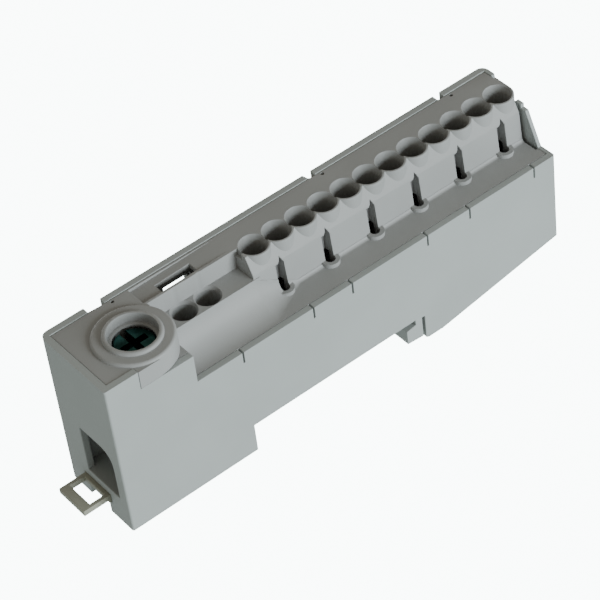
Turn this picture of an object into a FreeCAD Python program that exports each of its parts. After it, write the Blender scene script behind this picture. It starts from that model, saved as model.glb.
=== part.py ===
"""Rail-mounted distribution terminal block, one module wide, in millimetres.

Everything is drawn from the block's lower front left corner: X runs along the block and across
the rail, Y runs from the front side wall to the back one, Z runs from the feet to the top.
Each sub-part's Placement then moves it so that the origin is the middle of the rail's seat.
"""
import FreeCAD, Part
import os
import re
import Sketcher

Vector = FreeCAD.Vector

WELLS = 12
PAIRS = WELLS // 2
FEEDERS = 2

SIZES = {
    # whole block
    "width": 18.0,
    "height": 32.6,
    "wall": 1.3,
    "end_wall": 0.8,
    "end_room": 3.31,
    "fit": 0.05,
    # seat for a 35 mm rail
    "rail_width": 35.0,
    "rail_thick": 1.0,
    "rail_play": 0.4,
    "rail_slack": 0.1,
    "seat_left": 26.3,
    "seat_height": 5.8,
    "hook_grip": 2.05,
    "hook_low": 1.4,
    "hook_long": 3.55,
    "hook_lead": 0.3,
    "slit": 0.6,
    "foot_long": 3.5,
    "tail_low": 4.36,
    # left block with the supply clamp
    "block_end": 17.0,
    "chamber_floor": 6.3,
    "clamp_x": 10.85,
    "clamp_y": 7.1,
    "collar_step": 1.9,
    "collar_rise": 0.4,
    "rim_wall": 0.8,
    "rim_rise": 1.0,
    "collar_round": 0.5,
    "corner_round": 1.5,
    "edge_round": 0.4,
    "screw_margin": 0.35,
    "driver_deep": 1.9,
    "lip_grip": 0.3,
    "lip_thick": 0.5,
    "step_drop": 3.8,
    "apron_gap": 0.33,
    "entry_front": 2.3,
    "entry_back": 11.1,
    "entry_top": 16.4,
    "entry_round": 2.6,
    # cover
    "cover_drop": 0.12,
    "cover_thick": 1.2,
    "skirt": 2.6,
    "shelf_drop": 9.6,
    "ridge_lead": 3.0,
    "ridge_foot": 6.7,
    "ridge_knee": 7.3,
    "knee_drop": 3.3,
    "ridge_brow": 8.9,
    "ridge_back": 15.0,
    "corner_slit": 0.5,
    "corner_slit_long": 1.6,
    "ridge_skin": 1.3,
    "ridge_cove": 0.6,
    "cove_end": 43.2,
    "ridge_gap": 0.6,
    "end_drop": 3.0,
    "end_lean": 0.8,
    "fin_foot": 3.4,
    "fin_head": 6.3,
    "fin_step": 1.1,
    "fin_rise": 0.8,
    "fin_block": 1.5,
    "ledge_drop": 4.0,
    "ledge_front": 7.1,
    "ledge_back": 11.6,
    # wire wells
    "well_first": 37.9,
    "well_pitch": 4.89,
    "well_y": 10.5,
    "well_radius": 2.0,
    "mouth_radius": 2.58,
    "funnel": 1.7,
    "tube_wall": 0.9,
    "tube_low": 24.0,
    "feeder_first": 22.3,
    "feeder_y": 9.6,
    "feeder_radius": 2.1,
    "feeder_wall": 0.4,
    "feeder_lead": 0.3,
    # release slots
    "slot_wide": 1.8,
    "slot_front": 5.7,
    "slot_back": 9.0,
    "slot_drop": 3.9,
    "slot_peak": 1.1,
    "slot_rim": 0.75,
    "slot_rim_tall": 0.8,
    # marker slot
    "marker_start": 20.6,
    "marker_long": 7.0,
    "marker_front": 12.5,
    "marker_wide": 2.0,
    "recess_start": 16.6,
    "recess_end": 34.4,
    "recess_back": 16.2,
    "recess_deep": 0.5,
    "window_start": 22.6,
    "window_long": 5.6,
    "window_low": 25.4,
    "window_tall": 4.0,
    # snap catches of the front wall
    "catch_left_start": 26.1,
    "catch_left_end": 40.9,
    "catch_middle_start": 49.2,
    "catch_middle_end": 65.7,
    "catch_right_start": 75.2,
    "catch_right_end": 90.0,
    "catch_margin": 3.0,
    "catch_low": 2.1,
    "catch_high": 1.2,
    "catch_slit": 0.3,
    "catch_slit_deep": 2.3,
    "snap_play": 0.2,
    "snap_long": 2.0,
    "snap_thick": 0.9,
    "barb": 0.35,
    "barb_drop": 1.3,
    # notches in the top edge of the back wall
    "notch_left": 8.75,
    "notch_left_lead": 0.6,
    "notch_left_long": 3.3,
    "notch_middle": 54.2,
    "notch_middle_lead": 1.2,
    "notch_middle_long": 1.8,
    "notch_right": 83.3,
    "notch_right_lead": 0.9,
    "notch_right_long": 1.5,
    "notch_shallow": 1.3,
    "notch_deep": 1.5,
    "pip_radius": 0.35,
    "pip_gap": 1.1,
    "pip_inset": 0.7,
    # busbar
    "bar_front": 12.9,
    "bar_thick": 1.5,
    "bar_low": 11.0,
    "bar_high": 18.7,
    "bar_end": 93.0,
    "tongue_thick": 1.8,
    "tongue_start": 4.6,
    "tongue_front": 3.4,
    "tongue_back": 10.8,
    "bridge_start": 16.5,
    "bridge_end": 18.4,
    "bar_play": 0.1,
    "post_wide": 1.0,
    # supply clamp: cage and screw
    "cage_skin": 0.5,
    "cage_wide": 11.0,
    "cage_wall": 1.4,
    "cage_low": 6.5,
    "cage_head": 2.4,
    "cage_play": 0.15,
    "cage_screen": 1.0,
    "screw_radius": 3.95,
    "thread_play": 0.05,
    "tip_gap": 0.05,
    "screw_slot": 1.3,
    "screw_slot_deep": 2.2,
    "screw_cross": 4.9,
    "screw_below_lip": 0.1,
    # wire springs on the moulded rib
    "rib_y": 4.3,
    "rib_z": 19.6,
    "rib_radius": 0.8,
    "rib_web": 0.7,
    "leaf_thick": 0.45,
    "leaf_room": 0.89,
    "leaf_play": 0.05,
    "leaf_tip_gap": 0.12,
    "leaf_drop": 6.0,
    "leaf_short": 1.2,
    "partition": 0.5,
    # rail latch
    "latch_low": 2.8,
    "latch_thick": 1.8,
    "latch_wide": 7.2,
    "latch_play": 0.1,
    "latch_nose": 1.4,
    "latch_blunt": 2.0,
    "loop_long": 5.4,
    "loop_hole_long": 2.9,
    "loop_hole_wide": 5.5,
    "loop_bar": 1.8,
    "loop_neck": 0.4,
    "loop_thick": 1.2,
    "ledge_grip": 1.0,
    "window_x": 7.8,
    "spring_length": 8.0,
    "spring_wide": 2.4,
    "spring_wire": 0.4,
    "spring_turns": 7.0,
    "spring_room": 1.0,
    "lug_long": 1.6,
    "lug_play": 0.2,
}

# Sizes that follow from those above.
FOLLOWING = {
    "shelf_height": "=height - shelf_drop",
    "driver_hole": "=screw_radius + screw_margin",
    "driver_lip": "=screw_radius - lip_grip",
    "rim_radius": "=screw_radius + screw_margin + rim_wall",
    "collar_radius": "=screw_radius + screw_margin + rim_wall + collar_step",
    "apron_start": "=clamp_x - sqrt(collar_radius ^ 2 - (clamp_y - wall) ^ 2) - apron_gap",
    "cage_long": "=2 * (screw_radius + thread_play + cage_skin)",
}

doc = FreeCAD.newDocument("terminal_block")
sheet = doc.addObject("Spreadsheet::Sheet", "Sizes")
WORDS = SIZES | FOLLOWING
for row, (word, size) in enumerate(WORDS.items(), 1):
    sheet.set(f"A{row}", word)
    sheet.set(f"B{row}", str(size))
    sheet.setAlias(f"B{row}", word)
doc.recompute()

# Words built from the sizes, used as expressions.
COVER_TOP = "(height - cover_drop)"
COVER_LOW = "(height - cover_drop - cover_thick)"
UNDERCUT = "(seat_left + rail_width + rail_play)"
HOOK_NOSE = f"({UNDERCUT} - hook_grip)"
HOOK_TOP = "(seat_height - rail_thick - rail_slack)"
SLIT_START = f"({HOOK_NOSE} + hook_long)"
FOOT_START = f"({SLIT_START} + slit)"
FOOT_END = f"({FOOT_START} + foot_long)"
BACK = "(width - wall)"
LENGTH = f"(well_first + {WELLS - 1} * well_pitch + end_room)"
END = f"({LENGTH} - end_wall)"
COLLAR_TOP = "(height + collar_rise)"
RIM_TOP = "(height + rim_rise)"
LIP_HIGH = f"({RIM_TOP} - driver_deep)"
LIP_LOW = f"({LIP_HIGH} - lip_thick)"
STEP = "(height - step_drop)"
KNEE = "(height - knee_drop)"
END_TOP = "(height - end_drop)"
LEDGE = "(height - ledge_drop)"
SLOT_TOP = "(height - slot_drop)"
RIDGE_START = "(well_first - ridge_lead)"
RIDGE_END = f"({END} - ridge_gap)"
FLOOR = "(seat_height + wall)"
TUBE = "(well_radius + tube_wall)"
FEEDER_TUBE = "(feeder_radius + feeder_wall)"
BAR_BACK = "(bar_front + bar_thick)"
LATCH_TOP = "(latch_low + latch_thick)"
LEAF_WIDE = "(well_pitch - leaf_room)"

# How far a cutting shape stands out of what it cuts, and how far joined shapes reach into each other.
PAST = 1.0
SINK = 0.1
NEAR = 0.01
HAIR = 0.001


def link(expression):
    """Turn the size words of an expression into references to the sheet."""
    return re.sub(
        r"[a-z][a-z_]*",
        lambda word: "Sizes." + word[0] if word[0] in WORDS else word[0],
        str(expression),
    )


def value(expression):
    """The number that an expression comes to."""
    return float(sheet.evalExpression(link(expression)))


def bind(thing, **properties):
    """Bind properties to expressions; x, y and z stand for the position."""
    for name, expression in properties.items():
        path = "Placement.Base." + name if name in "xyz" else name
        thing.setExpression(path, link(expression))
    return thing


def box(name, x, y, z):
    """A box from low to high along each axis."""
    made = doc.addObject("Part::Box", name)
    spans = zip(("Length", "Width", "Height"), "xyz", (x, y, z))
    for side, axis, (low, high) in spans:
        bind(made, **{side: f"({high}) - ({low})", axis: low})
    return made


def rod(name, radius, x, y, z):
    """A cylinder along the one axis that is given as a (low, high) pair."""
    made = doc.addObject("Part::Cylinder", name)
    places = {}
    for axis, span in zip("xyz", (x, y, z)):
        if isinstance(span, tuple):
            low, high = span
            turned = {"x": Vector(1, 0, 0), "y": Vector(0, 1, 0), "z": Vector(0, 0, 1)}[axis]
            made.Placement.Rotation = FreeCAD.Rotation(Vector(0, 0, 1), turned)
            bind(made, Radius=radius, Height=f"({high}) - ({low})")
            places[axis] = low
        else:
            places[axis] = span
    return bind(made, **places)


def cone(name, low_radius, high_radius, x, y, z):
    """An upright cone or funnel."""
    made = doc.addObject("Part::Cone", name)
    low, high = z
    bind(made, Radius1=low_radius, Radius2=high_radius, Height=f"({high}) - ({low})")
    return bind(made, x=x, y=y, z=low)


def fuse(name, pieces):
    """One solid from several that touch."""
    made = doc.addObject("Part::MultiFuse", name)
    made.Shapes = pieces
    made.Refine = True
    return made


def cut(name, base, tools):
    """The base with every tool taken away."""
    made = doc.addObject("Part::Cut", name)
    made.Base = base
    made.Tool = tools[0] if len(tools) == 1 else fuse(name + "_tools", tools)
    made.Refine = True
    return made


def outline(name, turn, points):
    """A closed sketch of straight lines whose corners are bound to the sheet."""
    sketch = doc.addObject("Sketcher::SketchObject", name)
    sketch.Placement.Rotation = turn
    count = len(points)
    starts = []
    for index in range(count):
        spoke = FreeCAD.Rotation(Vector(0, 0, 1), 360.0 * index / count)
        starts.append(spoke.multVec(Vector(10, 0, 0)))
    for index, start in enumerate(starts):
        sketch.addGeometry(Part.LineSegment(start, starts[(index + 1) % count]))
    for index in range(count):
        ends = Sketcher.Constraint("Coincident", index, 2, (index + 1) % count, 1)
        sketch.addConstraint(ends)
    for index, (start, corner) in enumerate(zip(starts, points)):
        for kind, place, expression in zip(("DistanceX", "DistanceY"), start, corner):
            number = sketch.addConstraint(Sketcher.Constraint(kind, -1, 1, index, 1, place))
            sketch.setExpression(f"Constraints[{number}]", link(expression))
    return sketch


def prism(name, along, points, span):
    """A sketch in the plane across one axis, extruded from low to high along it."""
    low, high = span
    if along == "x":
        turn = FreeCAD.Rotation(Vector(1, 1, 1), 120)
        direction = Vector(1, 0, 0)
    else:
        turn = FreeCAD.Rotation(Vector(1, 0, 0), 90)
        direction = Vector(0, 1, 0)
    sketch = outline(name + "_outline", turn, points)
    bind(sketch, **{along: low})
    made = doc.addObject("Part::Extrusion", name)
    made.Base = sketch
    made.DirMode = "Custom"
    made.Dir = direction
    made.Solid = True
    return bind(made, LengthFwd=f"({high}) - ({low})")


def loft(name, sections):
    """A straight-sided solid between two closed sections."""
    made = doc.addObject("Part::Loft", name)
    made.Sections = sections
    made.Solid = True
    made.Ruled = True
    return made


def round_edges(name, base, size, wanted):
    """Round the edges of the base that pass the test."""
    doc.recompute()
    radius = value(size)
    made = doc.addObject("Part::Fillet", name)
    made.Base = base
    chosen = [number for number, edge in enumerate(base.Shape.Edges, 1) if wanted(edge)]
    made.Edges = [(number, radius, radius) for number in chosen]
    return made


def upright_at(x, y):
    """Test for an upright straight edge at x, y."""
    spot = Vector(value(x), value(y), 0)

    def wanted(edge):
        ends = [Vector(vertex.X, vertex.Y, 0) for vertex in edge.Vertexes]
        return len(ends) == 2 and all(end.isEqual(spot, NEAR) for end in ends)
    return wanted


def level_at(y, z):
    """Test for a straight edge that runs along the block at y, z."""
    spot = Vector(0, value(y), value(z))

    def wanted(edge):
        ends = [Vector(0, vertex.Y, vertex.Z) for vertex in edge.Vertexes]
        return len(ends) == 2 and all(end.isEqual(spot, NEAR) for end in ends)
    return wanted


def circle_at(z):
    """Test for a level round edge at height z."""
    height = value(z)

    def wanted(edge):
        return isinstance(edge.Curve, Part.Circle) and all(
            abs(place - height) < NEAR for place in (edge.BoundBox.ZMin, edge.BoundBox.ZMax))
    return wanted


def finish(made, label, x="0", y="0", z="0"):
    """Name the sub-part and set it, from x, y, z, in the frame whose origin is the rail's seat."""
    made.Label = label
    bind(made, x=f"{x} - (seat_left + {UNDERCUT}) / 2", y=f"{y} - width / 2", z=f"{z} - seat_height")
    return made


def well_x(number):
    """Centre of a wire well of the ridge, counted from 0."""
    return f"(well_first + {number} * well_pitch)"


def feeder_x(number):
    """Centre of a wire well of the ledge, counted from 0."""
    return f"(feeder_first + {number} * well_pitch)"


def partition_places():
    """X of the thin walls that part the pairs of wire springs."""
    between = [f"(well_first + {2 * pair - 0.5} * well_pitch)" for pair in range(PAIRS)]
    beside = [f"(feeder_first + {step} * well_pitch)" for step in (-0.5, FEEDERS - 0.5)]
    return beside + between


CATCHES = ("left", "middle", "right")
POCKETS = 3


def housing_base():
    """The lower shell: side walls, rail seat with its hook, feet, latch guide and ribs."""
    side = prism("base_side", "y", [
        ("0", "0"),
        ("seat_left", "0"),
        ("seat_left", "seat_height"),
        (UNDERCUT, "seat_height"),
        (UNDERCUT, HOOK_TOP),
        (HOOK_NOSE, f"{HOOK_TOP} - hook_lead"),
        (HOOK_NOSE, "hook_low"),
        (SLIT_START, "hook_low - hook_lead"),
        (SLIT_START, "seat_height - hook_lead"),
        (FOOT_START, "seat_height - hook_lead"),
        (FOOT_START, "hook_lead"),
        (f"{FOOT_START} + 2 * hook_lead", "0"),
        (FOOT_END, "0"),
        (LENGTH, "tail_low"),
        (LENGTH, "height"),
        ("0", "height"),
    ], ("0", "width"))
    side = round_edges("base_side_front", side, "edge_round", upright_at("0", "0"))
    side = round_edges("base_side_back", side, "corner_round", upright_at("0", "width"))
    side = round_edges("base_side_end", side, "edge_round", upright_at(LENGTH, "0"))
    side = round_edges("base_side_far", side, "corner_round", upright_at(LENGTH, "width"))
    entry = prism("base_entry_square", "x", [
        ("entry_front", "chamber_floor"),
        ("entry_back", "chamber_floor"),
        ("entry_back", "entry_top"),
        ("entry_front", "entry_top"),
    ], (-PAST, f"wall + {PAST}"))

    hollow = [
        box("base_hollow", ("wall", END), ("wall", BACK), (FLOOR, f"height + {PAST}")),
        box("base_chamber", ("wall", "block_end"), ("wall", BACK), ("chamber_floor", "height")),
        prism("base_tail", "y", [
            (f"{FOOT_START} + wall", f"{FLOOR} + {PAST}"),
            (f"{FOOT_START} + wall", "wall"),
            (FOOT_END, "wall"),
            (END, "tail_low + wall"),
            (END, f"{FLOOR} + {PAST}"),
        ], ("wall", BACK)),
        box("base_front_low", ("block_end", f"{LENGTH} + {PAST}"), (-PAST, "wall"),
            ("shelf_height", f"height + {PAST}")),
        box("base_step", ("apron_start", f"block_end + {PAST}"), (-PAST, "wall"),
            (STEP, f"height + {PAST}")),
        prism("base_end_profile", "x", [
            (-PAST, "shelf_height"),
            ("fin_foot", "shelf_height"),
            ("fin_head", END_TOP),
            ("fin_head + fin_step", END_TOP),
            ("fin_head + fin_step", f"{END_TOP} + fin_rise"),
            ("fin_head + fin_step + fin_block", f"{END_TOP} + fin_rise"),
            ("fin_head + fin_step + fin_block", END_TOP),
            ("ridge_back - end_lean", END_TOP),
            ("ridge_back", f"height + {PAST}"),
            (-PAST, f"height + {PAST}"),
        ], (f"{END} - {SINK}", f"{LENGTH} + {PAST}")),
        round_edges("base_entry", entry, "entry_round", level_at("entry_front", "entry_top")),
        box("base_window", ("window_start", "window_start + window_long"),
            (f"{BACK} - {PAST}", f"width + {PAST}"), ("window_low", "window_low + window_tall")),
    ]
    middle = "width / 2"
    channel = "(latch_wide / 2 + latch_play)"
    hollow += [
        box("base_channel", (-PAST, f"seat_left + {PAST}"),
            (f"{middle} - {channel}", f"{middle} + {channel}"),
            ("latch_low - latch_play", f"{LATCH_TOP} + latch_play")),
        box("base_channel_foot", (-PAST, f"seat_left + {PAST}"),
            (f"{middle} - {channel} + ledge_grip", f"{middle} + {channel} - ledge_grip"),
            (-PAST, "latch_low")),
        box("base_spring_room", ("window_x", "window_x + lug_long + spring_length + spring_room"),
            (f"{middle} - spring_wide / 2 - latch_play", f"{middle} + spring_wide / 2 + latch_play"),
            ("latch_low", "latch_low + latch_thick / 2 + spring_wide / 2 + latch_play")),
    ]
    pitch = f"((seat_left - wall) / {POCKETS})"
    for number in range(POCKETS):
        start = f"(wall + {number} * {pitch})"
        span = (start, f"{start} + {pitch} - wall")
        roof = f"{LATCH_TOP} + latch_play"
        hollow.append(box(f"base_pocket_front_{number}", span,
                          ("wall", f"{middle} - {channel} - wall"), (-PAST, roof)))
        hollow.append(box(f"base_pocket_back_{number}", span,
                          (f"{middle} + {channel} + wall", BACK), (-PAST, roof)))
    for place in CATCHES:
        start = f"catch_{place}_start"
        end = f"catch_{place}_end"
        for slit in (start, end):
            hollow.append(box(f"base_slit_{slit}", (slit, f"{slit} + catch_slit"),
                              (-PAST, f"wall + {SINK}"),
                              ("shelf_height - catch_slit_deep", f"shelf_height + {PAST}")))
        hollow.append(box(f"base_catch_{place}", (f"{start} + catch_margin", f"{end} - catch_margin"),
                          ("wall - barb - fit", f"wall + {SINK}"),
                          ("shelf_height - catch_low", "shelf_height - catch_high")))
        notch = f"notch_{place}"
        hollow.append(prism(f"base_{notch}", "y", [
            (notch, f"height + {SINK}"),
            (f"{notch} + {notch}_lead", "height - notch_shallow"),
            (f"{notch} + {notch}_long", "height - notch_deep"),
            (f"{notch} + {notch}_long", f"height + {SINK}"),
        ], (f"{BACK} - {SINK}", f"width + {PAST}")))
    shell = cut("base_shell", side, hollow)

    rib_span = ("bridge_end + bar_play", END)
    screen = "(clamp_y + cage_wide / 2 + cage_play)"
    ribs = [
        rod("base_rib", "rib_radius", rib_span, "rib_y", "rib_z"),
        box("base_rib_web", rib_span, (f"wall - {SINK}", "rib_y"),
            ("rib_z - rib_web / 2", "rib_z + rib_web / 2")),
        box("base_chamber_wall", ("wall", "block_end - cover_thick - fit"),
            (screen, f"{screen} + cage_screen"),
            (f"chamber_floor - {SINK}", f"{STEP} - cover_thick - fit")),
        box("base_lug", ("window_x + latch_play", "window_x + latch_play + lug_long"),
            (f"{middle} - spring_wide / 2 + lug_play", f"{middle} + spring_wide / 2 - lug_play"),
            ("latch_low", f"{LATCH_TOP} + wall")),
        box("base_bar_end_stop", (f"bar_end - {PAST / 2}", END), (f"{BAR_BACK} + fit", BACK),
            (FLOOR, "bar_high")),
    ]
    slot = box("base_bar_slot", (f"bridge_end - {PAST}", "bar_end + fit"),
               ("bar_front - fit", f"{BAR_BACK} + fit"), ("bar_low", f"bar_high + {PAST}"))
    walls = []
    for number, place in enumerate(partition_places()):
        walls.append(box(f"base_partition_{number}",
                         (f"{place} - partition / 2", f"{place} + partition / 2"),
                         (f"wall - {SINK}", f"{BACK} + {SINK}"), (f"{FLOOR} - {SINK}", "bar_high")))
    parted = cut("base_partitions", fuse("base_partition_set", walls), [slot])
    return finish(fuse("housing_base", [shell, parted] + ribs), "housing_base")


def cover_slot_tools(number):
    """What one release slot takes out of the cover: its channel and the notch above it."""
    middle = f"(well_first + {2 * number + 0.5} * well_pitch)"
    channel = box(f"slot_channel_{number}",
                  (f"{middle} - slot_wide / 2", f"{middle} + slot_wide / 2"),
                  ("slot_front + slot_wide / 2", "slot_back"),
                  (f"shelf_height - cover_thick - {PAST}", SLOT_TOP))
    nose = rod(f"slot_nose_{number}", "slot_wide / 2", middle, "slot_front + slot_wide / 2",
               (f"shelf_height - cover_thick - {PAST}", SLOT_TOP))
    notch = prism(f"slot_notch_{number}", "y", [
        (f"{middle} - slot_wide / 6", f"{SLOT_TOP} - {SINK}"),
        (f"{middle} + slot_wide / 2", f"{SLOT_TOP} - {SINK}"),
        (f"{middle} + slot_wide / 6", f"{SLOT_TOP} + slot_peak"),
    ], ("ridge_foot", "ridge_knee + ridge_skin"))
    return [channel, nose, notch]


COVE_BEHIND = 3 * SINK


def cove_between(name, start, end):
    """A hollow fillet between shelf and wall whose foot and radius run from start to end."""
    squares = []
    rounds = []
    turn = FreeCAD.Rotation(Vector(1, 1, 1), 120)
    for side, (place, foot, radius) in (("start", start), ("end", end)):
        squares.append(bind(outline(f"{name}_{side}_square", turn, [
            (f"{foot} - {radius}", f"shelf_height - {SINK}"),
            (f"{foot} + {COVE_BEHIND}", f"shelf_height - {SINK}"),
            (f"{foot} + {COVE_BEHIND}", f"shelf_height + {radius}"),
            (f"{foot} - {radius}", f"shelf_height + {radius}"),
        ]), x=place))
        ring = doc.addObject("Part::Circle", f"{name}_{side}_round")
        ring.Placement.Rotation = turn
        bind(ring, Radius=radius, x=place, y=f"{foot} - {radius}", z=f"shelf_height + {radius}")
        rounds.append(ring)
    return cut(name, loft(name + "_block", squares), [loft(name + "_hollow", rounds)])


def housing_cover():
    """The upper shell: collar, feeder ledge, ridge with its wells, shelf and release slots."""
    inner = ("wall + fit", f"{BACK} - fit")
    left = "wall + fit"
    back_skirt = (f"{BACK} - fit - cover_thick", f"{BACK} - fit")
    collar_body = rod("collar_body", "collar_radius", "clamp_x", "clamp_y",
                      (f"{STEP} - cover_thick", COLLAR_TOP))
    collar_body = round_edges("collar_body_round", collar_body, "collar_round", circle_at(COLLAR_TOP))
    collar_rim = rod("collar_rim", "rim_radius", "clamp_x", "clamp_y", (LIP_LOW, RIM_TOP))
    collar_rim = round_edges("collar_rim_round", collar_rim, "collar_round", circle_at(RIM_TOP))
    solid = [
        box("cover_plate", (left, "block_end"), inner, (COVER_LOW, COVER_TOP)),
        box("cover_strip", ("block_end", f"{END} - fit"), ("ledge_back", inner[1]),
            (COVER_LOW, COVER_TOP)),
        box("cover_skirt_back", (left, f"{END} - fit"), back_skirt,
            (f"{COVER_LOW} - skirt", COVER_TOP)),
        box("cover_skirt_left", (left, f"{left} + cover_thick"), inner,
            (f"{COVER_LOW} - skirt", COVER_TOP)),
        box("cover_riser", ("block_end - cover_thick", "block_end"),
            ("wall + fit", "ledge_back + cover_thick"),
            ("shelf_height - cover_thick", COVER_TOP)),
        box("cover_step", ("clamp_x", "block_end"), ("wall + fit", "clamp_y"),
            (f"{STEP} - cover_thick", STEP)),
        box("cover_shelf", ("block_end - cover_thick", RIDGE_END),
            ("wall + fit", "ridge_foot + cover_thick"),
            ("shelf_height - cover_thick", "shelf_height")),
        box("cover_shelf_end", (RIDGE_END, f"{END} - fit"), ("wall + fit", "fin_foot"),
            ("shelf_height - cover_thick", "shelf_height")),
        box("ledge_plate", ("block_end", f"{RIDGE_START} + cover_thick"),
            ("ledge_front", "ledge_back + cover_thick"),
            (f"{LEDGE} - cover_thick", LEDGE)),
        box("ledge_riser", ("block_end", f"{RIDGE_START} + cover_thick"),
            ("ledge_front", "ledge_front + cover_thick"),
            ("shelf_height - cover_thick", LEDGE)),
        box("ledge_back_riser", ("block_end", f"{RIDGE_START} + cover_thick"),
            ("ledge_back", "ledge_back + cover_thick"),
            (f"{LEDGE} - cover_thick", COVER_TOP)),
        prism("ridge_wall", "x", [
            ("ridge_foot", "shelf_height - cover_thick"),
            ("ridge_foot", "shelf_height"),
            ("ridge_knee", KNEE),
            ("ridge_brow", COVER_TOP),
            (f"ledge_back + {SINK}", COVER_TOP),
            (f"ledge_back + {SINK}", COVER_LOW),
            ("ridge_brow + ridge_skin", COVER_LOW),
            ("ridge_knee + ridge_skin", KNEE),
            ("ridge_foot + ridge_skin", "shelf_height - cover_thick"),
        ], (RIDGE_START, RIDGE_END)),
        prism("ridge_left_face", "x", [
            ("ridge_foot", "shelf_height"),
            ("ridge_knee", KNEE),
            ("ridge_brow", COVER_TOP),
            (f"ledge_back + {SINK}", COVER_TOP),
            (f"ledge_back + {SINK}", f"{LEDGE} - cover_thick"),
            ("ridge_knee + ridge_skin", f"{LEDGE} - cover_thick"),
            ("ridge_foot + ridge_skin", "shelf_height"),
        ], (RIDGE_START, f"{RIDGE_START} + cover_thick")),
        box("ridge_overhang", (well_x(WELLS - 1), f"{well_x(WELLS - 1)} + {TUBE}"),
            ("well_y", "ridge_back - end_lean - fit"), (f"{END_TOP} + {SINK}", COVER_TOP)),
        prism("ridge_right_face", "x", [
            ("ridge_foot", "shelf_height - cover_thick"),
            ("ridge_foot", "shelf_height"),
            ("ridge_knee", KNEE),
            ("ridge_brow", COVER_TOP),
            ("ridge_back", COVER_TOP),
            ("ridge_back", "shelf_height - cover_thick"),
        ], (f"{RIDGE_END} - cover_thick", RIDGE_END)),
        cut("collar_body_trimmed", collar_body, [
            box("collar_body_trim", ("0", f"block_end + {PAST}"), (-PAST, "wall + fit"),
                ("shelf_height", f"{STEP} + fit"))]),
        collar_rim,
        box("collar_apron", ("apron_start + fit", "clamp_x"), ("0", "clamp_y"),
            (f"{STEP} + fit", COVER_TOP)),
    ]
    end_trim = box("well_tube_trim", (f"{END} - fit", f"{LENGTH} + {PAST}"), (-PAST, "ridge_back"),
                   ("0", f"{END_TOP} + {SINK}"))
    tubes = [rod(f"well_tube_{number}", TUBE, well_x(number), "well_y", ("tube_low", COVER_TOP))
             for number in range(WELLS)]
    solid.append(cut("well_tubes", fuse("well_tube_set", tubes), [end_trim]))
    for number in range(FEEDERS):
        solid.append(rod(f"feeder_tube_{number}", FEEDER_TUBE, feeder_x(number), "feeder_y",
                         ("tube_low", LEDGE)))
    for number in range(PAIRS):
        middle = f"(well_first + {2 * number + 0.5} * well_pitch)"
        reach = "(slot_wide / 2 + slot_rim)"
        tall = ("shelf_height - cover_thick", "shelf_height + slot_rim_tall")
        solid.append(rod(f"slot_rim_nose_{number}", reach, middle, "slot_front + slot_wide / 2", tall))
        solid.append(box(f"slot_rim_{number}", (f"{middle} - {reach}", f"{middle} + {reach}"),
                         ("slot_front + slot_wide / 2", "ridge_foot + ridge_skin / 2"), tall))
    for number, place in enumerate(partition_places()):
        solid.append(box(f"cover_post_{number}", (f"{place} - post_wide / 2", f"{place} + post_wide / 2"),
                         ("bar_front", f"{BAR_BACK} + post_wide"), ("bar_high + fit", COVER_LOW)))
    for place in CATCHES:
        span = (f"catch_{place}_start + catch_margin + snap_play",
                f"catch_{place}_end - catch_margin - snap_play")
        solid.append(box(f"cover_snap_{place}", span, ("wall + fit", "wall + fit + snap_thick"),
                         ("shelf_height - snap_long", "shelf_height - cover_thick")))
        solid.append(prism(f"cover_barb_{place}", "x", [
            ("wall + fit", "shelf_height - barb_drop"),
            ("wall - barb", "shelf_height - barb_drop"),
            ("wall + fit", "shelf_height - snap_long"),
        ], span))

    cove = f"({LEDGE} - shelf_height)"
    solid.append(cove_between("cove_feeder", ("block_end", "ledge_front", cove),
                              (RIDGE_START, "ledge_front", cove)))
    solid.append(cove_between("cove_blend", (RIDGE_START, "ledge_front", cove),
                              ("cove_end", "ridge_foot", "ridge_cove")))
    solid.append(cove_between("cove_ridge", ("cove_end", "ridge_foot", "ridge_cove"),
                              (RIDGE_END, "ridge_foot", "ridge_cove")))

    hollow = [
        rod("driver_hole", "driver_hole", "clamp_x", "clamp_y", (LIP_HIGH, f"{RIM_TOP} + {PAST}")),
        rod("driver_lip", "driver_lip", "clamp_x", "clamp_y", (f"{LIP_LOW} - {PAST}", f"{LIP_HIGH} + {SINK}")),
        rod("screw_room", "driver_hole", "clamp_x", "clamp_y",
            (f"{STEP} - cover_thick - {PAST}", LIP_LOW)),
        box("marker_slot", ("marker_start", "marker_start + marker_long"),
            ("marker_front", "marker_front + marker_wide"), (f"{LEDGE} - cover_thick", f"height + {PAST}")),
        box("marker_window", ("window_start", "window_start + window_long"),
            (f"{BACK} - fit - cover_thick - {PAST}", f"width + {PAST}"),
            ("window_low", "window_low + window_tall")),
        prism("marker_recess", "y", [
            ("recess_start", f"{COVER_TOP} - recess_deep"),
            ("recess_end", COVER_TOP),
            ("recess_end", f"height + {PAST}"),
            ("recess_start", f"height + {PAST}"),
        ], ("ledge_back + cover_thick / 2", "recess_back")),
        box("ridge_corner_slit", (f"{RIDGE_START} - {SINK}", f"{RIDGE_START} + corner_slit"),
            ("ledge_back - corner_slit_long", "ledge_back"),
            (f"{COVER_TOP} - cover_thick", f"height + {PAST}")),
    ]
    notch = cut("collar_corner", box(
        "collar_corner_block", ("clamp_x", f"block_end + {PAST}"), (-PAST, "clamp_y"),
        (STEP, f"height + {PAST}"),
    ), [rod("collar_corner_round", "collar_radius", "clamp_x", "clamp_y",
            (f"{STEP} - {PAST}", f"height + 2 * {PAST}"))])
    hollow.append(notch)
    for number in range(WELLS):
        hollow.append(rod(f"well_bore_{number}", "well_radius", well_x(number), "well_y",
                          (f"tube_low - {PAST}", f"{COVER_TOP} - funnel + {NEAR}")))
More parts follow.
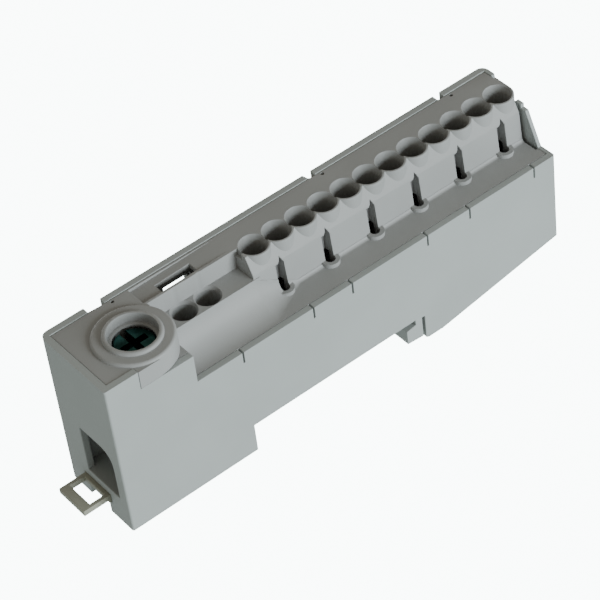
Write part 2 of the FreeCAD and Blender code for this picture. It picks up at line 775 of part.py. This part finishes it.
        hollow.append(cone(f"well_funnel_{number}", "well_radius", "mouth_radius", well_x(number),
                           "well_y", (f"{COVER_TOP} - funnel", f"{COVER_TOP} + {HAIR}")))
    for number in range(FEEDERS):
        hollow.append(rod(f"feeder_bore_{number}", "feeder_radius", feeder_x(number), "feeder_y",
                          (f"tube_low - {PAST}", f"height + {PAST}")))
        hollow.append(cone(f"feeder_funnel_{number}", "feeder_radius", "feeder_radius + feeder_lead",
                           feeder_x(number), "feeder_y",
                           (f"{LEDGE} - 2 * feeder_lead", f"{LEDGE} + {HAIR}")))
    for number in range(PAIRS):
        hollow += cover_slot_tools(number)
    for place in CATCHES:
        notch = f"notch_{place}"
        hollow.append(rod(f"cover_pip_{place}", "pip_radius", f"{notch} + {notch}_long + pip_gap",
                          f"{BACK} - pip_inset",
                          (f"{COVER_TOP} - recess_deep", f"height + {PAST}")))
    return finish(cut("housing_cover", fuse("cover_solid", solid), hollow), "housing_cover")


def busbar():
    """The stamped current bar: a strip on edge with a tongue bent into the supply clamp."""
    made = fuse("busbar", [
        box("bar_strip", ("bridge_start", "bar_end"), ("bar_front", BAR_BACK), ("bar_low", "bar_high")),
        box("bar_bridge", ("bridge_start", "bridge_end"), ("tongue_front", BAR_BACK),
            ("bar_high - tongue_thick", "bar_high")),
        box("bar_tongue", ("tongue_start", "bridge_end"), ("tongue_front", "tongue_back"),
            ("bar_high - tongue_thick", "bar_high")),
    ])
    return finish(made, "busbar")


def clamp_cage():
    """The steel cage round the tongue; its threaded head climbs the screw."""
    x = ("clamp_x - cage_long / 2", "clamp_x + cage_long / 2")
    y = ("clamp_y - cage_wide / 2", "clamp_y + cage_wide / 2")
    top = "(bar_high + bar_play + cage_head)"
    block = box("cage_block", x, y, ("cage_low", top))
    window = box("cage_window", (f"{x[0]} - {PAST}", f"{x[1]} + {PAST}"),
                 (f"{y[0]} + cage_wall", f"{y[1]} - cage_wall"),
                 ("cage_low + cage_wall", "bar_high + bar_play"))
    thread = rod("cage_thread", "screw_radius + thread_play", "clamp_x", "clamp_y",
                 ("bar_high", f"{top} + {PAST}"))
    return finish(cut("clamp_cage", block, [window, thread]), "clamp_cage")


def clamp_screw():
    """The headless clamping screw with its slot and cross recess."""
    top = f"({LIP_LOW} - screw_below_lip)"
    body = rod("screw_body", "screw_radius", "clamp_x", "clamp_y",
               ("bar_high + tip_gap", top))
    slot = box("screw_slot_cut", ("clamp_x - screw_slot / 2", "clamp_x + screw_slot / 2"),
               (f"clamp_y - screw_radius - {PAST}", f"clamp_y + screw_radius + {PAST}"),
               (f"{top} - screw_slot_deep", f"{top} + {PAST}"))
    cross = box("screw_cross_cut", ("clamp_x - screw_cross / 2", "clamp_x + screw_cross / 2"),
                ("clamp_y - screw_slot / 2", "clamp_y + screw_slot / 2"),
                (f"{top} - screw_slot_deep", f"{top} + {PAST}"))
    return finish(cut("clamp_screw", body, [slot, cross]), "clamp_screw")


def wire_spring(label, middle):
    """One leaf: a curl that sits on the moulded rib and a tongue that leans on the busbar."""
    x = (f"{middle} - {LEAF_WIDE} / 2", f"{middle} + {LEAF_WIDE} / 2")
    bore = "(rib_radius + leaf_play)"
    outer = f"({bore} + leaf_thick)"
    curl = cut(label + "_curl", rod(label + "_round", outer, x, "rib_y", "rib_z"), [
        rod(label + "_bore", bore, (f"{x[0]} - {PAST}", f"{x[1]} + {PAST}"), "rib_y", "rib_z"),
        box(label + "_mouth", (f"{x[0]} - {PAST}", f"{x[1]} + {PAST}"),
            (f"rib_y - {outer} - {PAST}", "rib_y"),
            (f"rib_z - {outer} - {PAST}", f"rib_z + {outer} + {PAST}")),
    ])
    run = "(bar_front - leaf_tip_gap - rib_y)"
    reach = f"sqrt({run} ^ 2 + leaf_drop ^ 2)"
    tongue = doc.addObject("Part::Box", label + "_tongue")
    bind(tongue, Length=LEAF_WIDE, Width=f"{reach} - leaf_short", Height="leaf_thick", x=x[0])
    tilt = f"atan2(leaf_drop; {run})"
    tongue.Placement.Rotation = FreeCAD.Rotation(Vector(1, 0, 0), -30)
    bind(tongue, **{
        "Placement.Rotation.Angle": f"360 deg - {tilt}",
        "y": f"rib_y + {bore} * sin({tilt})",
        "z": f"rib_z + {bore} * cos({tilt})",
    })
    return finish(fuse(label, [curl, tongue]), label)


def rail_latch():
    """The sliding foot: a flat strip with a pull loop outside and a bevelled nose in the seat."""
    middle = "width / 2"
    y = (f"{middle} - latch_wide / 2", f"{middle} + latch_wide / 2")
    z = ("latch_low", LATCH_TOP)
    strip = box("latch_strip", ("-loop_neck", "seat_left - latch_blunt"), y, z)
    loop = box("latch_loop", ("-loop_long", f"-loop_neck + {SINK}"), y,
               (f"{LATCH_TOP} - loop_thick", LATCH_TOP))
    nose = prism("latch_nose_wedge", "y", [
        (f"seat_left - latch_blunt - {SINK}", "latch_low"),
        ("seat_left", "latch_low"),
        ("seat_left + latch_nose", "latch_low + latch_thick / 2"),
        ("seat_left + latch_nose", LATCH_TOP),
        (f"seat_left - latch_blunt - {SINK}", LATCH_TOP),
    ], y)
    hole = box("latch_hole", ("-loop_long + loop_bar", "-loop_long + loop_bar + loop_hole_long"),
               (f"{middle} - loop_hole_wide / 2", f"{middle} + loop_hole_wide / 2"),
               (f"latch_low - {PAST}", f"{LATCH_TOP} + {PAST}"))
    room = box("latch_room", ("window_x", "window_x + 2 * latch_play + lug_long + spring_length"),
               (f"{middle} - spring_wide / 2 - latch_play", f"{middle} + spring_wide / 2 + latch_play"),
               (f"latch_low - {PAST}", f"{LATCH_TOP} + {PAST}"))
    return finish(cut("rail_latch", fuse("latch_solid", [strip, nose, loop]), [hole, room]), "rail_latch")


def latch_spring():
    """The compression coil that pushes the latch into the seat."""
    size = sheet.get
    wire = size("spring_wire")
    radius = size("spring_wide") / 2 - wire / 2
    length = size("spring_length") - wire
    helix = Part.makeHelix(length / size("spring_turns"), length, radius)
    profile = Part.Wire(Part.makeCircle(wire / 2, Vector(radius, 0, 0), Vector(0, 1, 0)))
    made = doc.addObject("Part::Feature", "latch_spring")
    made.Shape = Part.Wire(helix).makePipeShell([profile], True, True)
    made.Placement.Rotation = FreeCAD.Rotation(Vector(0, 1, 0), 90)
    start = "window_x + latch_play + lug_long + (spring_wire + latch_play) / 2"
    return finish(made, "latch_spring", start, "width / 2", "latch_low + latch_thick / 2")


parts = [housing_base(), housing_cover(), busbar(), clamp_cage(), clamp_screw()]
parts += [rail_latch(), latch_spring()]
for well in range(WELLS):
    parts.append(wire_spring(f"wire_spring_{well + 1:02d}", well_x(well)))
for feeder in range(FEEDERS):
    parts.append(wire_spring(f"feeder_spring_{feeder + 1}", feeder_x(feeder)))

doc.recompute()
for thing in doc.Objects:
    if "Invalid" in thing.State or "Error" in thing.State:
        raise RuntimeError(f"{thing.Name} failed: {thing.State}")
for made in parts:
    if made.Shape.isNull() or not made.Shape.isValid():
        raise RuntimeError(f"{made.Label} has no valid shape")
os.makedirs("parts", exist_ok=True)
for made in parts:
    made.Shape.exportStep(f"parts/{made.Label}.step")
    box_made = made.Shape.BoundBox
    print(f"{made.Label}: {len(made.Shape.Solids)} solid, {made.Shape.Volume:.1f} mm3, "
          f"X {box_made.XMin:.2f} to {box_made.XMax:.2f}, Z {box_made.ZMin:.2f} to {box_made.ZMax:.2f}")
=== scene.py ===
"""Looks of a rail-mounted distribution terminal block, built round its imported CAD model."""

import math

import bmesh
import bpy
from mathutils import Euler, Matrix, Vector


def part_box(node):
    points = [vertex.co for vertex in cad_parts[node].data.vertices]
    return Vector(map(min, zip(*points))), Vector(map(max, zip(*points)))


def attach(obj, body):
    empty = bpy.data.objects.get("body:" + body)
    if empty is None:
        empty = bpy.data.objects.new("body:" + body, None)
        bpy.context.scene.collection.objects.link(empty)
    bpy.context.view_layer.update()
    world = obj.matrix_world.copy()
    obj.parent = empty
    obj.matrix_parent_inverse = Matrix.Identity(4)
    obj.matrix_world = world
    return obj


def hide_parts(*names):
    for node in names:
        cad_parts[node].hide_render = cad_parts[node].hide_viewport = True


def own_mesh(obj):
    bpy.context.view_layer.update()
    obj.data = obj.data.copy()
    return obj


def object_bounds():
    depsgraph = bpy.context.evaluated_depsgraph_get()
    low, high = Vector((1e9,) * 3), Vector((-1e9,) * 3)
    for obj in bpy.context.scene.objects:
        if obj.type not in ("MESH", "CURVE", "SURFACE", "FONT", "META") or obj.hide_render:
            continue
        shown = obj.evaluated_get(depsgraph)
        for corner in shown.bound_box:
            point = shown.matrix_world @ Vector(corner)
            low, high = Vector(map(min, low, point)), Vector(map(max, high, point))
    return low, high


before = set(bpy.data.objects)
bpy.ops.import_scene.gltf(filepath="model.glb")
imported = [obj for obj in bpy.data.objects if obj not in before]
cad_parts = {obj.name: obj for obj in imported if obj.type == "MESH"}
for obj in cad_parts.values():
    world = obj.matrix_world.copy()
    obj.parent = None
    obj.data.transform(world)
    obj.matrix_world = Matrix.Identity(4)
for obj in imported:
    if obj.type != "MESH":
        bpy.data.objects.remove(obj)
cad_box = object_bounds()
scene = bpy.context.scene


# --- Camera ---------------------------------------------------------------------------------
# A long lens from the front left and above, so that the block's top, front and left end show.
MM = 0.001
camera = bpy.data.objects.new("camera", bpy.data.cameras.new("camera"))
scene.collection.objects.link(camera)
camera.location = Vector((-173.8, -261.4, 309.4)) * MM
camera.rotation_euler = Euler([math.radians(turn) for turn in (46.174, 5.516, -38.978)])
camera.data.lens = 154.24
camera.data.sensor_width = 36.0
camera.data.clip_start = 0.01
camera.data.clip_end = 10.0
scene.camera = camera


# --- Lower shell ----------------------------------------------------------------------------
# The base is one injection moulding in light grey polyamide: side walls, rail
# seat, hook, feet and the guide of the latch. Its edges are softened by the mould's radii and
# its faces carry a fine spark-eroded grain.
def moulded_copy(node, name, material, soft_edge, shortest=0.4 * MM, room=0.25 * MM,
                 sharp_from=math.radians(24)):
    """A piece in a CAD node's shape whose outer edges have the small radius of a mould."""
    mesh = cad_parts[node].data.copy()
    mesh.name = name
    shape = bmesh.new()
    shape.from_mesh(mesh)
    bmesh.ops.remove_doubles(shape, verts=shape.verts, dist=0.002 * MM)
    bmesh.ops.dissolve_limit(shape, angle_limit=math.radians(0.5), use_dissolve_boundaries=False,
                             verts=shape.verts, edges=shape.edges)
    bmesh.ops.triangulate(shape, faces=[face for face in shape.faces if len(face.verts) > 4],
                          quad_method="BEAUTY", ngon_method="BEAUTY")
    outer = [edge for edge in shape.edges if edge.is_manifold and edge.is_convex
             and edge.calc_face_angle() > sharp_from and edge.calc_length() > shortest
             and all(near.calc_length() > room for end in edge.verts for near in end.link_edges)]
    bmesh.ops.bevel(shape, geom=outer, affect="EDGES", offset=soft_edge, offset_type="OFFSET",
                    segments=2, profile=0.5, material=-1, clamp_overlap=False)
    for edge in shape.edges:
        edge.smooth = edge.calc_face_angle(0.0) < sharp_from
    shape.to_mesh(mesh)
    shape.free()
    mesh.shade_smooth()
    mesh.materials.clear()
    mesh.materials.append(material)
    piece = bpy.data.objects.new(name, mesh)
    scene.collection.objects.link(piece)
    normals = piece.modifiers.new("flat faces stay flat", "WEIGHTED_NORMAL")
    normals.keep_sharp = True
    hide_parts(node)
    return piece


def moulded_plastic(name, colour, shade, grain=0.00009, rough=(0.5, 0.62), bump=0.12):
    """Light moulded plastic: cloudy colour, a fine grain and slightly uneven gloss."""
    material = bpy.data.materials.new(name)
    material.use_nodes = True
    nodes = material.node_tree.nodes
    link = material.node_tree.links.new
    shader = nodes["Principled BSDF"]
    place = nodes.new("ShaderNodeTexCoord")
    cloud = nodes.new("ShaderNodeTexNoise")
    cloud.inputs["Scale"].default_value = 70.0
    cloud.inputs["Detail"].default_value = 4.0
    tint = nodes.new("ShaderNodeValToRGB")
    tint.color_ramp.elements[0].position = 0.35
    tint.color_ramp.elements[0].color = (*shade, 1)
    tint.color_ramp.elements[1].position = 0.65
    tint.color_ramp.elements[1].color = (*colour, 1)
    fine = nodes.new("ShaderNodeTexNoise")
    fine.inputs["Scale"].default_value = 1 / grain
    fine.inputs["Detail"].default_value = 2.0
    gloss = nodes.new("ShaderNodeMapRange")
    gloss.inputs["To Min"].default_value, gloss.inputs["To Max"].default_value = rough
    relief = nodes.new("ShaderNodeBump")
    relief.inputs["Strength"].default_value = bump
    relief.inputs["Distance"].default_value = 0.00002
    link(place.outputs["Object"], cloud.inputs["Vector"])
    link(place.outputs["Object"], fine.inputs["Vector"])
    link(cloud.outputs["Fac"], tint.inputs["Fac"])
    link(tint.outputs["Color"], shader.inputs["Base Color"])
    link(cloud.outputs["Fac"], gloss.inputs["Value"])
    link(gloss.outputs["Result"], shader.inputs["Roughness"])
    link(fine.outputs["Fac"], relief.inputs["Height"])
    link(relief.outputs["Normal"], shader.inputs["Normal"])
    shader.inputs["Specular IOR Level"].default_value = 0.4
    return material


housing_grey = moulded_plastic("housing_grey", (0.36, 0.385, 0.375), (0.34, 0.365, 0.355))
lower_shell = moulded_copy("housing_base", "lower_shell", housing_grey, 0.12 * MM)
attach(lower_shell, "housing")


# --- Upper shell ----------------------------------------------------------------------------
# The cover is a second moulding of the same grey polyamide, snapped into the base. It forms the
# collar over the clamping screw, the ledge, the ridge with its funnels and the release slots.
# Its grey is set darker than the base's: painted shade for the tops and the slope, which get less light.
cover_grey_painted_shade = moulded_plastic("cover_grey_painted_shade", (0.325, 0.33, 0.325), (0.30, 0.305, 0.30))
upper_shell = moulded_copy("housing_cover", "upper_shell", cover_grey_painted_shade, 0.12 * MM)
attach(upper_shell, "housing")


# --- Clamping screw -------------------------------------------------------------------------
# A headless M8 screw of blackened steel: rolled thread from the tip up, a chamfered top with a
# driver slot and a shorter cross cut. It hangs in the collar and turns in the cage below.
def metal(name, colour, shade, rough, streaks=(1.0, 1.0, 1.0), bump=0.1):
    """Bare or plated metal: cloudy colour, streaks along the way it was drawn, uneven gloss."""
    material = bpy.data.materials.new(name)
    material.use_nodes = True
    nodes = material.node_tree.nodes
    link = material.node_tree.links.new
    shader = nodes["Principled BSDF"]
    shader.inputs["Metallic"].default_value = 1.0
    place = nodes.new("ShaderNodeTexCoord")
    cloud = nodes.new("ShaderNodeTexNoise")
    cloud.inputs["Scale"].default_value = 350.0
    cloud.inputs["Detail"].default_value = 5.0
    tint = nodes.new("ShaderNodeValToRGB")
    tint.color_ramp.elements[0].position = 0.38
    tint.color_ramp.elements[0].color = (*shade, 1)
    tint.color_ramp.elements[1].position = 0.62
    tint.color_ramp.elements[1].color = (*colour, 1)
    drawn = nodes.new("ShaderNodeMapping")
    drawn.inputs["Scale"].default_value = streaks
    streak = nodes.new("ShaderNodeTexNoise")
    streak.inputs["Scale"].default_value = 4000.0
    streak.inputs["Detail"].default_value = 3.0
    gloss = nodes.new("ShaderNodeMapRange")
    gloss.inputs["To Min"].default_value, gloss.inputs["To Max"].default_value = rough
    relief = nodes.new("ShaderNodeBump")
    relief.inputs["Strength"].default_value = bump
    relief.inputs["Distance"].default_value = 0.00001
    link(place.outputs["Object"], cloud.inputs["Vector"])
    link(place.outputs["Object"], drawn.inputs["Vector"])
    link(drawn.outputs["Vector"], streak.inputs["Vector"])
    link(cloud.outputs["Fac"], tint.inputs["Fac"])
    link(tint.outputs["Color"], shader.inputs["Base Color"])
    link(streak.outputs["Fac"], gloss.inputs["Value"])
    link(gloss.outputs["Result"], shader.inputs["Roughness"])
    link(streak.outputs["Fac"], relief.inputs["Height"])
    link(relief.outputs["Normal"], shader.inputs["Normal"])
    return material


def finished_piece(name, shape, material, body, sharp_from=math.radians(35)):
    """The bmesh as an object that rides a body and has one material."""
    bmesh.ops.recalc_face_normals(shape, faces=shape.faces)
    for edge in shape.edges:
        edge.smooth = edge.calc_face_angle(0.0) < sharp_from
    mesh = bpy.data.meshes.new(name)
    shape.to_mesh(mesh)
    shape.free()
    mesh.shade_smooth()
    mesh.materials.append(material)
    piece = bpy.data.objects.new(name, mesh)
    scene.collection.objects.link(piece)
    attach(piece, body)
    return piece


screw_low, screw_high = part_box("clamp_screw")
screw_centre = (screw_low + screw_high) / 2
screw_radius = (screw_high.x - screw_low.x) / 2
THREAD_PITCH = 1.25 * MM
THREAD_DEPTH = 0.55 * MM
THREAD_FLANK = 1.4
THREAD_FLAT = 0.2
STEPS_A_TURN = 10
SCREW_CHAMFER = 0.6 * MM
SLOT_WIDE = 1.3 * MM
SLOT_DEEP = 2.2 * MM
CROSS_LONG = 4.9 * MM


def threaded_screw():
    """A spun pin whose side is drawn in along a helix, with its slot and cross cut from the top."""
    shape = bmesh.new()
    length = screw_high.z - screw_low.z
    steps = STEPS_A_TURN * int(length / THREAD_PITCH)
    side = [Vector((screw_radius, 0, screw_low.z + length * step / steps))
            for step in range(steps + 1)]
    profile = [Vector((0, 0, screw_low.z))] + side + [Vector((0, 0, screw_high.z))]
    corners = [shape.verts.new(corner) for corner in profile]
    edges = [shape.edges.new(pair) for pair in zip(corners, corners[1:])]
    bmesh.ops.spin(shape, geom=corners + edges, cent=(0, 0, 0), axis=(0, 0, 1),
                   angle=math.tau, steps=48, use_merge=True)
    bmesh.ops.remove_doubles(shape, verts=shape.verts, dist=0.001 * MM)
    for vert in shape.verts:
        reach = vert.co.xy.length
        if reach < screw_radius / 2:
            continue
        turns = (vert.co.z - screw_low.z) / THREAD_PITCH - math.atan2(vert.co.y, vert.co.x) / math.tau
        valley = abs(2 * (turns % 1) - 1)
        from_end = min(vert.co.z - screw_low.z, screw_high.z - vert.co.z)
        depth = THREAD_DEPTH * min(1, max(0, THREAD_FLANK * valley - THREAD_FLAT))
        depth = max(depth, SCREW_CHAMFER - from_end)
        vert.co.xy *= (reach - depth) / reach
    bmesh.ops.translate(shape, verts=shape.verts, vec=(screw_centre.x, screw_centre.y, 0))
    return shape


def cut_out(piece, shape):
    """Take the closed shape out of the piece's mesh."""
    tool = bpy.data.objects.new("tool", bpy.data.meshes.new("tool"))
    shape.to_mesh(tool.data)
    shape.free()
    scene.collection.objects.link(tool)
    taking = piece.modifiers.new("cut", "BOOLEAN")
    taking.operation = "DIFFERENCE"
    taking.solver = "EXACT"
    taking.object = tool
    ready = piece.evaluated_get(bpy.context.evaluated_depsgraph_get())
    made = bpy.data.meshes.new_from_object(ready)
    piece.modifiers.remove(taking)
    made.name = piece.data.name
    piece.data = made
    bpy.data.meshes.remove(tool.data)


def bar_between(shape, low, high):
    """Add a block from its low to its high corner to the shape."""
    block = bmesh.ops.create_cube(shape, size=1.0)["verts"]
    bmesh.ops.scale(shape, verts=block, vec=high - low)
    bmesh.ops.translate(shape, verts=block, vec=(high + low) / 2)


blackened_steel = metal("blackened_steel", (0.045, 0.14, 0.13), (0.014, 0.045, 0.04), (0.28, 0.5))
pin = finished_piece("clamping_screw", threaded_screw(), blackened_steel, "screw")
screw_top = Vector((screw_centre.x, screw_centre.y, screw_high.z))
for long, wide in ((SLOT_WIDE, 3 * screw_radius), (CROSS_LONG, SLOT_WIDE)):
    half = Vector((long / 2, wide / 2, SLOT_DEEP))
    groove = bmesh.new()
    bar_between(groove, screw_top - half, screw_top + half)
    cut_out(pin, groove)
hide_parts("clamp_screw")


# --- Clamp cage -----------------------------------------------------------------------------
# A block of zinc-plated steel with a window for the cable and a tapped top wall. It rides up the
# screw's thread and pulls the cable against the bar.
plated_steel = metal("plated_steel", (0.60, 0.62, 0.64), (0.46, 0.48, 0.52), (0.3, 0.5), (1, 1, 0.06))
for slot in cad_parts["clamp_cage"].material_slots:
    slot.material = plated_steel


# --- Busbar ---------------------------------------------------------------------------------
# One drawn strip of tinned copper under the clamp and along all the wells. The tin is dull, with
# the drawing marks along its length.
tinned_copper = metal("tinned_copper", (0.74, 0.73, 0.70), (0.60, 0.58, 0.55), (0.34, 0.5), (0.05, 1, 1))
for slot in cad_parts["busbar"].material_slots:
    slot.material = tinned_copper


# --- Wire springs ---------------------------------------------------------------------------
# One leaf of rolled stainless steel under each well, curled round a moulded rib, its tongue held
# against the bar. All leaves are alike, so they share the strip's finish.
spring_steel = metal("spring_steel", (0.56, 0.54, 0.51), (0.44, 0.42, 0.40), (0.22, 0.36), (0.08, 1, 1))
for name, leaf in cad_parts.items():
    if name.startswith(("wire_spring", "feeder_spring")):
        for slot in leaf.material_slots:
            slot.material = spring_steel


# --- Sliding foot ---------------------------------------------------------------------------
# The latch that holds the block on its rail: a flat strip of polyamide with a thin square pull
# loop outside, moulded in one. Its edges are rounder than those of the shells. Its colour is set
# darker and more olive than the shells': painted shade.
latch_olive_painted_shade = moulded_plastic("latch_olive_painted_shade", (0.33, 0.33, 0.265), (0.29, 0.29, 0.23), rough=(0.42, 0.55))
sliding_foot = moulded_copy("rail_latch", "sliding_foot", latch_olive_painted_shade, 0.16 * MM)
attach(sliding_foot, "latch")


# --- Latch coil -----------------------------------------------------------------------------
# A compression coil of spring wire in the foot's window, between a lug of the base and the end of
# the window. It is wound with closed ends and rides rigid with the housing.
WIRE = 0.4 * MM
COIL_WIDE = 2.4 * MM
COIL_LONG = 8.0 * MM
WIRE_SIDES = 10
COIL_STEPS = 28
END_TURNS = 1.2
OPEN_TURNS = 5.0
coil_low, coil_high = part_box("latch_spring")
coil_centre = (coil_low + coil_high) / 2


def coil():
    """A round wire spun into closed end turns, open turns and closed end turns again."""
    shape = bmesh.new()
    around = Vector((0, coil_centre.y, coil_centre.z))
    start = coil_centre.x - (COIL_LONG - WIRE) / 2
    pitch = (COIL_LONG - WIRE - 2 * END_TURNS * WIRE) / OPEN_TURNS
    ring = bmesh.ops.create_circle(shape, cap_ends=True, segments=WIRE_SIDES,
                                   radius=WIRE / 2)["verts"]
    bmesh.ops.translate(shape, verts=ring, vec=around + Vector((start, COIL_WIDE / 2 - WIRE / 2, 0)))
    ends = list(shape.faces)
    for turns, climb in ((END_TURNS, WIRE), (OPEN_TURNS, pitch), (END_TURNS, WIRE)):
        steps = round(COIL_STEPS * turns)
        spun = bmesh.ops.spin(shape, geom=ends, cent=around, axis=(1, 0, 0), angle=math.tau * turns,
                              dvec=(climb * turns / steps, 0, 0), steps=steps)
        ends = [part for part in spun["geom_last"] if isinstance(part, bmesh.types.BMFace)]
    return shape


coil_spring = finished_piece("latch_coil", coil(), spring_steel, "housing")
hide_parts("latch_spring")
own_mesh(coil_spring)


# --- Floor and light ------------------------------------------------------------------------
# A white sweep under the block that glows evenly, brighter to the camera than to the block, so
# that it shows no shadow and lights the sides from below. A broad cool light stands low in front,
# with weaker ones at the left end and behind, and the tops stay in a dim warm light.
floor = bpy.data.objects.new("floor", bpy.data.meshes.new("floor"))
scene.collection.objects.link(floor)
plane = bmesh.new()
bmesh.ops.create_grid(plane, x_segments=1, y_segments=1, size=3.0)
bmesh.ops.translate(plane, verts=plane.verts, vec=(0, 0, cad_box[0].z))
plane.to_mesh(floor.data)
plane.free()
paper = bpy.data.materials.new("paper")
paper.use_nodes = True
paper_shader = paper.node_tree.nodes["Principled BSDF"]
paper_shader.inputs["Base Color"].default_value = (0.05, 0.05, 0.05, 1)
paper_shader.inputs["Roughness"].default_value = 1.0
paper_shader.inputs["Specular IOR Level"].default_value = 0.0
paper_shader.inputs["Emission Color"].default_value = (0.90, 1.0, 0.98, 1)
seen = paper.node_tree.nodes.new("ShaderNodeLightPath")
glow = paper.node_tree.nodes.new("ShaderNodeMapRange")
glow.inputs["To Min"].default_value = 0.62
glow.inputs["To Max"].default_value = 11.0
paper.node_tree.links.new(seen.outputs["Is Camera Ray"], glow.inputs["Value"])
paper.node_tree.links.new(glow.outputs["Result"], paper_shader.inputs["Emission Strength"])
floor.data.materials.append(paper)

world = bpy.data.worlds.new("studio")
world.use_nodes = True
world.node_tree.nodes["Background"].inputs["Color"].default_value = (1.0, 0.94, 0.80, 1)
world.node_tree.nodes["Background"].inputs["Strength"].default_value = 0.32
scene.world = world


def soft_light(name, place, size, power, colour):
    """A square soft light aimed at the block."""
    lamp = bpy.data.lights.new(name, "AREA")
    lamp.size = size
    lamp.energy = power
    lamp.color = colour
    holder = bpy.data.objects.new(name, lamp)
    scene.collection.objects.link(holder)
    holder.location = place
    holder.rotation_euler = (-Vector(place)).to_track_quat("-Z", "Y").to_euler()


soft_light("key", (0.25, -0.9, 0.22), 0.45, 13.0, (0.88, 0.96, 1.0))
soft_light("end", (-1.0, -0.15, 0.1), 0.45, 1.4, (0.80, 0.95, 1.0))
soft_light("back", (0.15, 1.0, 0.04), 0.45, 3.5, (0.95, 0.98, 1.0))
